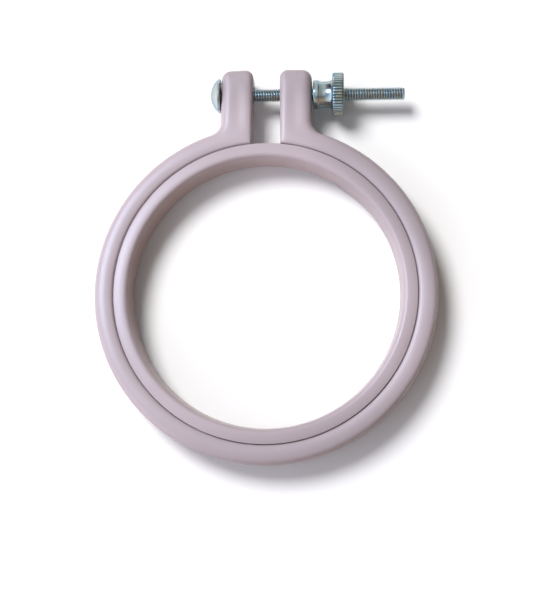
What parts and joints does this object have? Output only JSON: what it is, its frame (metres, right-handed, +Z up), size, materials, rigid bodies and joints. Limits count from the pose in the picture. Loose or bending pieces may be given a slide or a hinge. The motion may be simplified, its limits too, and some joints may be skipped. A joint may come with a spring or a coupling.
{
  "type": "embroidery hoop",
  "caption": "Round screw-tightened embroidery hoop: a split outer ring with two ears, drawn together round a plain inner ring by a screw and a knurled thumb nut.",
  "frame": {"origin": "under the middle of the whole hoop, on the surface it lies on", "axes": "+Z up out of the hoop's plane, +Y from the rings towards the two ears, +X along the screw from its head to its tip"},
  "size_m": [0.1016, 0.119, 0.0131],
  "materials": {
    "outer_ring_plastic": "moulded lilac-grey plastic, satin gloss",
    "inner_ring_plastic": "moulded lilac-grey plastic, satin gloss",
    "screw_zinc": "bright zinc plate, bluish",
    "nut_zinc": "bright zinc plate, bluish, turned and knurled"
  },
  "bodies": {
    "outer_ring_right": {"outer_ring_right": "outer_ring_plastic"},
    "outer_ring_left": {"outer_ring_left": "outer_ring_plastic"},
    "inner_ring": {"inner_ring": "inner_ring_plastic"},
    "clamp_screw": {"clamp_screw": "screw_zinc"},
    "thumb_nut": {"thumb_nut": "nut_zinc"}
  },
  "joints": [
    {"name": "screw_slide", "type": "slide", "parent": "outer_ring_right", "child": "clamp_screw", "axis": [-1, 0, 0], "range_m": [0, 0.00476]},
    {"name": "nut_spin", "type": "hinge", "parent": "outer_ring_right", "child": "thumb_nut", "pos_m": [0.01415, 0.0526, 0.00655], "axis": [1, 0, 0], "range_deg": [0, 2160]},
    {"name": "ring_open", "type": "hinge", "parent": "outer_ring_right", "child": "outer_ring_left", "pos_m": [0, -0.05665, 0.00655], "axis": [0, 0, 1], "range_deg": [0, 2.52]},
    {"name": "inner_ring_lift", "type": "slide", "parent": "outer_ring_right", "child": "inner_ring", "axis": [0, 0, 1], "range_m": [0, 0.02]}
  ],
  "couplings": [
    {"joint": "nut_spin", "follows": "screw_slide", "rad_per_m": 7915.8},
    {"joint": "ring_open", "follows": "screw_slide", "rad_per_m": 9.1533}
  ]
}
